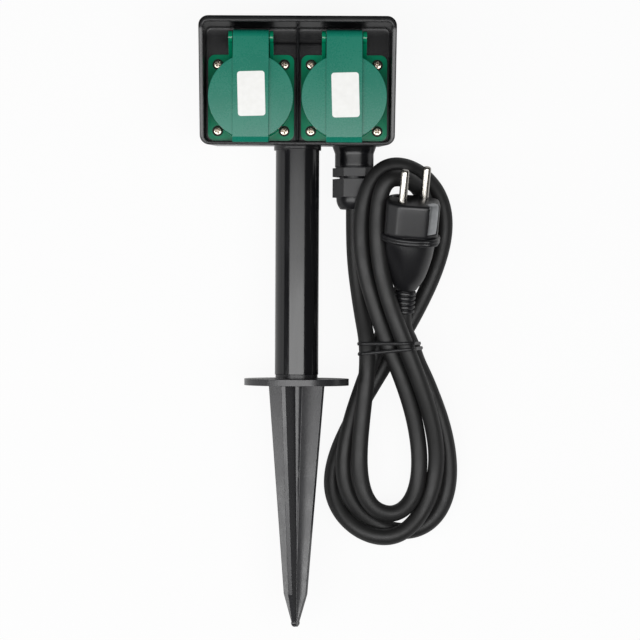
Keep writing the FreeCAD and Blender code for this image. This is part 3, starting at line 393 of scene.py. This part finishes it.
coil_radius, wire_radius = 2.4 * mm, 0.42 * mm
coil_turns, points_per_turn = 13, 20
for side in ("left", "right"):
    low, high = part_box("lid_spring_" + side)
    hinge_low, hinge_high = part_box("hinge_pin_" + side)
    hinge = (hinge_low + hinge_high) / 2
    start, end = low.x + 0.6 * mm, high.x - 3.2 * mm
    steps = coil_turns * points_per_turn
    coil = []
    for step in range(steps + 1):
        angle = math.pi / 2 + 2 * math.pi * step / points_per_turn
        coil.append(Vector((start + (end - start) * step / steps, hinge.y + coil_radius * math.cos(angle),
                            hinge.z + coil_radius * math.sin(angle))))
    coil.append(Vector((high.x - 0.1 * mm, hinge.y, hinge.z + coil_radius)))
    spring = round_wire("coil_spring_" + side, coil, wire_radius)
    spring.data.materials.append(steel)
    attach(spring, "base")
    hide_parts("lid_spring_" + side)


# Labels
# A small white vinyl label is stuck on the strap of each lid, a little askew. It is left bare, with the
# soft sheen and slightly uneven surface of thin film pressed on by hand.
def label_vinyl():
    """White film with a faint orange peel."""
    material, tree, shader, place = started("white_vinyl_film")
    shader.inputs["IOR"].default_value = 1.46
    ripple = 3.0 * mm
    peel = add(tree, "ShaderNodeTexNoise", {"Vector": place, "Scale": 1 / ripple, "Detail": 3.0})
    colour = add(tree, "ShaderNodeMix", {0: peel.outputs["Fac"], 6: linear("f4f4f2"), 7: linear("e6e6e3")},
                 data_type="RGBA")
    tree.links.new(colour.outputs[2], shader.inputs["Base Color"])
    gloss = add(tree, "ShaderNodeMapRange", {"Value": peel.outputs["Fac"], "To Min": 0.32, "To Max": 0.5})
    tree.links.new(gloss.outputs["Result"], shader.inputs["Roughness"])
    bump = add(tree, "ShaderNodeBump", {"Height": peel.outputs["Fac"], "Distance": 0.02 * mm,
                                        "Strength": 0.4})
    tree.links.new(bump.outputs["Normal"], shader.inputs["Normal"])
    return material


vinyl = label_vinyl()
label_width, label_length, label_corner, film = 15.6 * mm, 25.4 * mm, 1.7 * mm, 0.12 * mm
tilt = math.radians(1.6)
for side, x, y in (("left", -26.2, 131.2), ("right", 27.3, 130.6)):
    outline = []
    for quarter, (sx, sy) in enumerate(((1, 1), (-1, 1), (-1, -1), (1, -1))):
        for step in range(7):
            angle = math.radians(90 * quarter + 15 * step)
            px = sx * (label_width / 2 - label_corner) + label_corner * math.cos(angle)
            py = sy * (label_length / 2 - label_corner) + label_corner * math.sin(angle)
            outline.append((x * mm + px * math.cos(tilt) - py * math.sin(tilt),
                            y * mm + px * math.sin(tilt) + py * math.cos(tilt)))
    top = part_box("lid_" + side)[1].z
    mesh = bmesh.new()
    under = [mesh.verts.new((px, py, top)) for px, py in outline]
    over = [mesh.verts.new((px, py, top + film)) for px, py in outline]
    skin(mesh, [under, over])
    label = as_object(mesh, "label_" + side)
    label.data.materials.append(vinyl)
    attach(label, "lid_" + side)


# Post
# A drawn tube of polished black polypropylene, pushed into the housing's boss. Its fine die lines run
# lengthwise and stretch the lights into long stripes.
post_pp = moulded("polished_black_polypropylene", "101012", "2c2c2e", (0.1, 0.18), 1.2, 0.006, 0.4, 30.0,
                  stretch=(1, 0.04, 1))
finish(post_pp, "post")


# Ground spike
# One moulding of glass-filled nylon: spigot, foot flange and a cross of tapering fins. The filler makes
# it dark grey rather than black, with a broad satin shine and slight flow marks along the fins.
spike_nylon = moulded("glass_filled_nylon", "29292b", "4a4a4d", (0.24, 0.32), 0.7, 0.006, 0.45, 10.0,
                      stretch=(1, 0.3, 1))
finish(spike_nylon, "ground_spike")


# Cord gland
# A hexagon body and a domed nut of black nylon with a rubber ring inside that grips the cord. Nylon has
# a soft shine with small dull patches from handling.
gland_nylon = moulded("satin_black_nylon", "18181a", "38383a", (0.28, 0.42), 0.6, 0.02, 0.45)
finish(gland_nylon, "gland_body", "gland_nut")
finish(seal_rubber, "gland_seal")


# Inner leads
# Three insulated cores run from the end of the cord to the contacts and on to the other outlet.
# PVC insulation is smooth with a slight shine. They are hidden in the closed housing.
core_pvc = moulded("brown_pvc_insulation", "6b4a2f", "80604a", (0.35, 0.45), 0.5, 0.01, 0.1)
finish(core_pvc, "inner_leads")


# Plug
# An earthed plug, moulded round its pins in black rubber: eight-sided front with a channel on each earth
# side, rounded collar with a lug, tapering grip and a ribbed strain relief. The nickel-plated pins stand in
# the front, and the earth strips lie in the channels and reach over the front edge.
plug_rubber = moulded("moulded_black_pvc_rubber", "151517", "343436", (0.3, 0.4), 0.6, 0.015, 0.5)
pin_nickel = metal("polished_nickel_on_brass", "bcb9b3", "9f9b94", (0.16, 0.26), 0.1, 0.002, 0.15)
strip_nickel = metal("rubbed_nickel_on_brass", "b9bbbd", "9a9c9e", (0.28, 0.4), 0.12, 0.004, 0.15)

# It lies on the hank, nose up and leaning a little to the right, rolled halfway to its side.
lean, rise, roll = math.radians(4.4), math.radians(15.0), math.radians(48.0)
nose = Vector((math.sin(lean) * math.cos(rise), math.cos(lean) * math.cos(rise), math.sin(rise)))
beside = Vector((math.cos(lean), -math.sin(lean), 0))
above = beside.cross(nose)
pin_way = above * math.sin(roll) - beside * math.cos(roll)
earth_way = above * math.cos(roll) + beside * math.sin(roll)
plug_front = Vector((66.9, 71.9, 42.3))
plug_place = Matrix.Translation(plug_front * mm) @ Matrix((pin_way, earth_way, nose)).transposed().to_4x4()
plug_steps = 144
plug_sides = [(17.4, 0), (15.5, 47), (16.4, 90), (15.5, 133)]
plug_sides += [(reach, way + 180) for reach, way in plug_sides]
corner_power = 22
channel_half, channel_floor, channel_end = 4.2, 15.5, 17.2
lug_height, lug_spread = 1.5, 17
flat_power = 40


def eight_sided(angle, inset):
    """Distance in mm from the plug's axis to its front's outline, whose corners are rounded."""
    total = 0
    for reach, way in plug_sides:
        total += max(0, math.cos(angle - math.radians(way)) / (reach - inset)) ** corner_power
    return total ** (-1 / corner_power)


def channelled(angle, inset):
    """The same outline with the channels for the earth strips."""
    reach = eight_sided(angle, inset)
    if abs(reach * math.cos(angle)) < channel_half:
        reach = min(reach, channel_floor / abs(math.sin(angle)))
    return reach


def collared(angle, radius):
    """Round outline with a soft lug on one earth side."""
    return radius + lug_height * math.exp(-((math.degrees(angle) - 90) / lug_spread) ** 4)


def gripped(angle, radius, flat):
    """Round outline with a soft flat for a finger on each pin side."""
    flat_reach = radius * (1 - flat) / max(abs(math.cos(angle)), 0.01)
    return (radius ** -flat_power + flat_reach ** -flat_power) ** (-1 / flat_power)


# Each ring is a distance behind the front in mm, an outline and what the outline is given.
plug_rings = [(-n, channelled, (inset,)) for n, inset in (
    (0, 1.5), (0.3, 0.8), (0.8, 0.3), (1.5, 0.05), (2.4, 0))]
plug_rings += [(-n, channelled, (0,)) for n in (6.0, 10.0, 14.0, channel_end)]
plug_rings += [(-n, eight_sided, (inset,)) for n, inset in ((17.4, 0), (18.8, 0), (19.1, 0.2), (19.3, 0.9))]
plug_rings += [(-n, collared, (radius,)) for n, radius in (
    (19.4, 15.4), (19.6, 16.4), (20.0, 17.0), (20.6, 17.3), (21.3, 17.3), (21.7, 17.0), (22.1, 17.3),
    (22.9, 17.3), (23.5, 17.0), (23.9, 16.4), (24.1, 15.4))]
plug_rings += [(-n, gripped, (radius, flat)) for n, radius, flat in (
    (24.2, 14.4, 0), (25.6, 14.35, 0.02), (27.5, 14.25, 0.06), (30.0, 14.05, 0.1), (33.0, 13.6, 0.13),
    (36.0, 13.0, 0.15), (39.0, 12.3, 0.16), (42.0, 11.5, 0.16), (45.0, 10.5, 0.14), (47.5, 9.4, 0.1),
    (49.5, 8.2, 0.05), (51.2, 7.1, 0.02), (52.4, 6.4, 0), (53.0, 5.7, 0))]
rib_start, rib_pitch = 53.0, 2.7
for rib in range(5):
    for n, radius in (
            (0.2, 5.2), (0.6, 5.15), (0.75, 5.8), (0.95, 6.1), (2.0, 6.4), (2.3, 6.25), (2.5, 5.25)):
        plug_rings.append((-(rib_start + rib_pitch * rib + n), gripped, (radius, 0)))
plug_length = 66.9
plug_rings += [(-66.6, gripped, (5.2, 0)), (-plug_length, gripped, (5.0, 0))]

mesh = bmesh.new()
rings = []
for along, outline_at, given in plug_rings:
    ring = []
    for step in range(plug_steps):
        angle = 2 * math.pi * step / plug_steps
        reach = outline_at(angle, *given) * mm
        ring.append(mesh.verts.new((reach * math.cos(angle), reach * math.sin(angle), along * mm)))
    rings.append(ring)
skin(mesh, rings)
earth_hole = turned([(0, 1.0), (2.5, 1.0), (2.5, -13.0), (0, -14.0)], 40)
bmesh.ops.translate(earth_hole, verts=earth_hole.verts[:], vec=(0, -10.0 * mm, 0))
bored = cut_out(as_object(mesh, "blank"), as_object(earth_hole, "cutter"))
mesh = bmesh.new()
mesh.from_mesh(bored)
mesh.transform(plug_place)
plug = as_object(mesh, "plug_moulding", 40)
plug.data.materials.append(plug_rubber)

pin_profile = [(0, 19.0), (1.2, 18.95), (1.9, 18.6), (2.3, 17.9), (2.4, 17.2), (2.4, -2.0), (0, -2.0)]
pin_half_gap = 9.5 * mm
both = []
for way in (-1, 1):
    pin = turned(pin_profile, 48)
    bmesh.ops.translate(pin, verts=pin.verts[:], vec=(way * pin_half_gap, 0, 0))
    both.append(pin)
mesh = gathered(both)
mesh.transform(plug_place)
pins = as_object(mesh, "round_pins", 30)
pins.data.materials.append(pin_nickel)

strip_path = [(-17.0, 15.75), (-12.0, 16.1), (-6.0, 16.2), (-2.0, 16.15), (-0.9, 16.0), (-0.1, 15.6),
              (0.3, 15.0), (0.4, 14.3), (0.4, 12.8)]
strip_half, strip_thickness, strip_crown = 3.7, 0.45, 0.2
mesh = bmesh.new()
for way in (-1, 1):
    rings = []
    for (along, reach), run in zip(strip_path, ways([Vector(spot) for spot in strip_path])):
        ring = []
        for layer, steps in ((0, range(9)), (1, range(8, -1, -1))):
            for step in steps:
                share = step / 4 - 1
                lift = strip_crown * (1 - share ** 4) - layer * strip_thickness
                out, ahead = reach + run.x * lift, along - run.y * lift
                ring.append(mesh.verts.new((share * strip_half * mm, way * out * mm, ahead * mm)))
        rings.append(ring)
    skin(mesh, rings)
mesh.transform(plug_place)
strips = as_object(mesh, "earth_strips", 40)
strips.data.materials.append(strip_nickel)
for piece, node, slot in ((plug, "plug_body", "plug_rubber"), (pins, "plug_pins", "pin_nickel"),
                          (strips, "plug_earth_contacts", "pin_nickel")):
    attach(piece, "base")
    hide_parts(node)


# Supply cord
# Round three-core rubber cord, 9.6 mm thick and 1.345 m long, from the gland through the hank to the plug.
# Rubber sheathing is matt, with a fine grain and slightly dusty patches.
def eased(keys, place):
    """Value between keys that levels out at each key."""
    index = min(int(place), len(keys) - 2)
    share = (1 - math.cos(math.pi * (place - index))) / 2
    return keys[index] * (1 - share) + keys[index + 1] * share


def flowing(keys, place):
    """Value on a smooth curve through the keys."""
    index = min(int(place), len(keys) - 2)
    part = place - index
    longer = [2 * keys[0] - keys[1]] + keys + [2 * keys[-1] - keys[-2]]
    slope_in = (longer[index + 2] - longer[index]) / 2
    slope_out = (longer[index + 3] - longer[index + 1]) / 2
    rest = 1 - part
    value = keys[index] * rest ** 2 * (1 + 2 * part) + keys[index + 1] * part ** 2 * (3 - 2 * part)
    return value + slope_in * part * rest ** 2 - slope_out * part ** 2 * rest


# The hank has five lobes, by turns below and above its waist. Each has its length from the waist, its half
# width and the shift of its two sides to the right, all in mm, and lobe_full, the share by which it is
# fuller near the waist. hank_lane is x at each waist and lobe end, hank_height z there and halfway between.
waist_y = -11.5
lobe_reach = [98.6, 104.9, 113.0, 99.0, 110.3]
lobe_side = [14.6, 24.5, 30.6, 16.1, 28.8]
lobe_full = [-0.08, 0.06, 0.08, -0.08, 0.03]
lobe_lean = [1.8, 4.9, -6.5, 5.0, -2.2]
hank_lane = [44.5, 53.5, 53.0, 58.0, 59.0, 51.5, 63.5, 58.0, 47.5, 63.5, 64.0]
hank_height = [
    25.5, 25.0, 20.5, 15.0, 26.0, 30.0, 26.0, 6.5, 6.5, 5.5, 18.5,
    13.0, 32.0, 36.5, 36.5, 10.0, 14.0, 17.0, 6.5, 6.0, 17.0,
]


def hank_point(angle):
    """Centre of the cord in the hank, in mm; 180 degrees lead from one waist to the next."""
    lobe = min(int(angle // 180), len(lobe_reach) - 1)
    within = math.radians(angle - 180 * lobe)
    way = -1 if lobe % 2 == 0 else 1
    place = min(max(angle / 180 - 0.5, 0), len(lobe_reach) - 1)
    turn = math.radians(2 * angle)
    swing = math.sin(turn) + eased(lobe_full, place) * math.sin(2 * turn)
    x = eased(hank_lane, angle / 90) - eased(lobe_side, place) * swing
    x += eased(lobe_lean, place) * math.sin(turn) ** 2
    y = waist_y + way * lobe_reach[lobe] * math.sin(within)
    return Vector((x, y, flowing(hank_height, angle / 45)))


def placed_point(angle):
    """The same centre where the photograph shows it, a little beside the formula's place."""
    across, along = pushed.get(angle, (0, 0))
    return hank_point(angle) + Vector((across, along, 0))


# Moves to the right and up the picture in mm, by the angle at which the photograph asks for them.
hank_start, hank_end, hank_step = 24, 888, 12
pushed = {24: (1.2, 0), 36: (0.8, 0), 48: (0.3, 0), 96: (0.3, -0.8), 108: (0.9, -1.0), 120: (1.0, -0.6),
          132: (0.8, 0), 144: (0.9, 0), 156: (1.2, 0), 168: (1.0, 0), 204: (-0.4, 0),
          372: (-0.8, 0), 384: (-0.8, 0), 396: (-0.8, 0), 408: (-0.6, 0), 516: (-0.6, 0),
          528: (-0.8, 0), 540: (-0.6, 0), 588: (0.4, 0), 600: (0.8, -0.5), 612: (0.9, -1.3),
          624: (0.4, -2.0), 636: (0, -2.0), 648: (0, -1.3), 660: (0, -0.5), 876: (0.4, 0), 888: (0.8, 0)}
cord_diameter = 9.6
way_in = (hank_point(hank_start + 0.5) - hank_point(hank_start - 0.5)).normalized()
way_out = (hank_point(hank_end + 0.5) - hank_point(hank_end - 0.5)).normalized()
entry = placed_point(hank_start) - way_in * cord_diameter
leave = placed_point(hank_end) + way_out * cord_diameter

relief_end = plug_front - nose * plug_length

route = [Vector(p) for p in ((33.1, 72.0, 13.5), (33.1, 53.5, 13.5), (34.0, 35.5, 13.2), (36.2, 18.5, 14.6),
                             (38.5, 4.0, 18.0), (40.7, -8.0, 22.0), (41.2, -20.0, 24.8))]
route += [entry - way_in * 10.0, entry]
route += [placed_point(angle) for angle in range(hank_start, hank_end + 1, hank_step)]
route += [leave, leave + way_out * 6.0, Vector((66.8, -11.0, 19.6)), relief_end - nose * 8.0, relief_end]
route = [point * mm for point in route]

cord_curve = bpy.data.curves.new("supply_cord", "CURVE")
cord_curve.dimensions = "3D"
spline = cord_curve.splines.new("NURBS")
spline.points.add(len(route) - 1)
for point, place in zip(spline.points, route):
    point.co = (*place, 1.0)
spline.order_u = 3
spline.use_endpoint_u = True
cord_curve.resolution_u = 8
cord = bpy.data.objects.new("supply_cord", cord_curve)
bpy.context.scene.collection.objects.link(cord)
bpy.context.view_layer.update()
cord_line = [vert.co.copy() for vert in mesh_of(cord).vertices]
cord_curve.bevel_depth = cord_diameter / 2 * mm
cord_curve.bevel_resolution = 8
cord_curve.use_fill_caps = True
sheath = moulded("black_rubber_sheath", "151515", "242424", (0.46, 0.6), 0.5, 0.03, 0.2, 9.0)
cord_curve.materials.append(sheath)
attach(cord, "base")
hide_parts("cord_gland_run", "cord_hank", "cord_plug_run")


# Twist tie
# A plastic-coated wire goes twice round the waist of the hank, and its ends are twisted together on the
# right. The coating is thin black PVC, flat on both sides of the wire, with a slight shine.
def crossings(y, tilt):
    """Places (x, z) where the cord passes an upright plane, which crosses the waist's middle at y."""
    found = []
    for a, b in zip(cord_line, cord_line[1:]):
        before, after = [p.y - y - tilt * (p.x - waist_x) for p in (a, b)]
        if before * after <= 0 and before != after:
            share = before / (before - after)
            slope = abs((b.x - a.x) / (b.y - a.y))
            found.append((a.x + (b.x - a.x) * share, a.z + (b.z - a.z) * share, slope))
    return found


def wrap_outline(y, tilt, spare):
    """Closed line pulled tight round the strands in that plane."""
    spots = []
    for x, z, slope in crossings(y, tilt):
        for step in range(36):
            angle = math.radians(10 * step)
            radius = cord_diameter / 2 * mm + spare
            spots.append((x + radius * math.hypot(1, slope) * math.cos(angle), z + radius * math.sin(angle)))
    spots.sort()
    loop = []
    for sequence in (spots, spots[::-1]):
        chain = []
        for x, z in sequence:
            while len(chain) > 1:
                (ax, az), (bx, bz) = chain[-2:]
                if (bx - ax) * (z - az) - (bz - az) * (x - ax) > 0:
                    break
                chain.pop()
            chain.append((x, z))
        loop += chain[:-1]
    return loop


def evenly(loop, count):
    """Points at even distances along a closed (x, z) line."""
    ring = loop + loop[:1]
    lengths = [math.dist(a, b) for a, b in zip(ring, ring[1:])]
    total = sum(lengths)
    found = []
    for step in range(count):
        left = total * step / count
        for (a, b), length in zip(zip(ring, ring[1:]), lengths):
            if left <= length:
                share = left / length
                found.append((a[0] + (b[0] - a[0]) * share, a[1] + (b[1] - a[1]) * share))
                break
            left -= length
    return found


def ribbon(name, points, outs, width, thickness, closed):
    """Coated wire: a flat strip with a round core, along points with given outward directions."""
    core_share, flat_share, swell = 0.45, 0.28, 0.34
    section = []
    for step in range(16):
        angle = 2 * math.pi * step / 16
        along, out = math.cos(angle), math.sin(angle)
        core = math.exp(-(along / core_share) ** 2)
        section.append((along * width / 2, out * thickness * (flat_share + swell * core)))
    mesh = bmesh.new()
    rings = []
    for point, out, way in zip(points, outs, ways(points, closed)):
        out = (out - way * out.dot(way)).normalized()
        beside = way.cross(out)
        rings.append([mesh.verts.new(point + beside * a + out * b) for a, b in section])
    skin(mesh, rings, closed)
    made = as_object(mesh, name, 60)
    made.data.materials.append(tie_pvc)
    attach(made, "base")
    return made


tie_pvc = moulded("coated_tie_wire", "1a1a1b", "3c3c3d", (0.3, 0.42), 0.4, 0.01, 0.1, 4.0)
tie_width, tie_thickness, tie_spare = 2.0 * mm, 0.7 * mm, 0.42 * mm
band_points = 160
waist_x = 55.0 * mm
bands = []
for name, y, tilt in (("upper", -10.7, 0.012), ("lower", -15.0, 0.1)):
    loop = evenly(wrap_outline(y * mm, tilt, tie_spare), band_points)
    middle_x = sum(x for x, z in loop) / len(loop)
    middle_z = sum(z for x, z in loop) / len(loop)
    points = [Vector((x, y * mm + (x - waist_x) * tilt, z)) for x, z in loop]
    outs = [Vector((x - middle_x, 0, z - middle_z)) for x, z in loop]
    bands.append(ribbon("tie_band_" + name, points, outs, tie_width, tie_thickness, True))

# The twist lies on the upper band's right shoulder, and its two ends spread over the last fifth.
shoulder = max((vert.co for vert in bands[0].data.vertices), key=lambda spot: 0.75 * spot.x + 0.66 * spot.z)
twist_turns, twist_steps, twist_reach, spread_from = 2.2, 48, 0.5, 0.8
end_width, end_thickness = 1.2 * mm, 0.8 * mm
for name, first in (("front", 0), ("back", math.pi)):
    points, outs = [], []
    for step in range(twist_steps + 1):
        share = step / twist_steps
        angle = first + 2 * math.pi * twist_turns * share
        reach = twist_reach + 3 * max(0, share - spread_from)
        middle = Vector((0.3, -14.8 + 5.4 * share, 0.2 + 0.5 * share)) * mm
        out = Vector((math.cos(angle), 0.25 * math.sin(angle), math.sin(angle)))
        points.append(Vector((shoulder.x, 0, shoulder.z)) + middle + out * reach * mm)
        outs.append(out)
    ribbon("tie_end_" + name, points, outs, end_width, end_thickness, False)
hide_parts("cord_tie")


# Table, lights and surroundings
# A white studio table under two long soft lights overhead, one a little shorter than the other so that
# the shine fades towards the visor. A weaker soft light stands on the left, and a small one hangs high
# on the left where the slanting fins of the spike mirror it. Only the camera sees the table's glow and the
# bright surroundings; all other rays meet pale paper and a dim room.
table = bpy.data.meshes.new("table")
reach, under_part, camera_white, dim_surroundings = 4.0, -0.2 * mm, 0.92, 0.06
table.from_pydata([(-reach, -reach, 0), (reach, -reach, 0), (reach, reach, 0), (-reach, reach, 0)], [],
                  [(0, 1, 2, 3)])
floor = bpy.data.objects.new("table", table)
floor.location = (0, 0, under_part)
bpy.context.scene.collection.objects.link(floor)
white = bpy.data.materials.new("white_table")
white.use_nodes = True
tree = white.node_tree
tree.nodes.remove(tree.nodes["Principled BSDF"])
paper = add(tree, "ShaderNodeBsdfDiffuse", {"Color": linear("dedede")}).outputs["BSDF"]
glow = add(tree, "ShaderNodeEmission", {"Color": (1, 1, 1, 1), "Strength": 1.0}).outputs["Emission"]
path = add(tree, "ShaderNodeLightPath")
seen = add(tree, "ShaderNodeMath", {0: path.outputs["Is Camera Ray"], 1: camera_white},
           operation="MULTIPLY")
blended = add(tree, "ShaderNodeMixShader", {0: seen.outputs["Value"], 1: paper, 2: glow})
tree.links.new(blended.outputs["Shader"], tree.nodes["Material Output"].inputs["Surface"])
table.materials.append(white)

for name, radiance, size, place, turn in (
        ("overhead_long", 2.6, (2.0, 0.635), (-0.02, -0.1325, 1.25), (0, 0, 0)),
        ("overhead_short", 2.8, (2.0, 0.50), (-0.02, -0.20, 1.26), (0, 0, 0)),
        ("left_side", 0.8, (0.35, 0.9), (-1.0, 0.02, 0.2), (0, -80, 0)),
        ("fin_light", 8.5, (0.8, 0.38), (-1.5, -0.36, 1.2), (0, -51, 0))):
    lamp = bpy.data.lights.new(name, "AREA")
    lamp.shape = "RECTANGLE"
    lamp.size, lamp.size_y = size
    lamp.energy = radiance * math.pi * size[0] * size[1]
    light = bpy.data.objects.new(name, lamp)
    light.location = place
    light.rotation_euler = [math.radians(angle) for angle in turn]
    bpy.context.scene.collection.objects.link(light)

world = bpy.data.worlds.new("studio")
world.use_nodes = True
bpy.context.scene.world = world
tree = world.node_tree
back = tree.nodes["Background"]
back.inputs["Color"].default_value = (1, 1, 1, 1)
path = add(tree, "ShaderNodeLightPath")
level = add(tree, "ShaderNodeMapRange", {"Value": path.outputs["Is Camera Ray"],
                                         "To Min": dim_surroundings, "To Max": 1.0})
tree.links.new(level.outputs["Result"], back.inputs["Strength"])
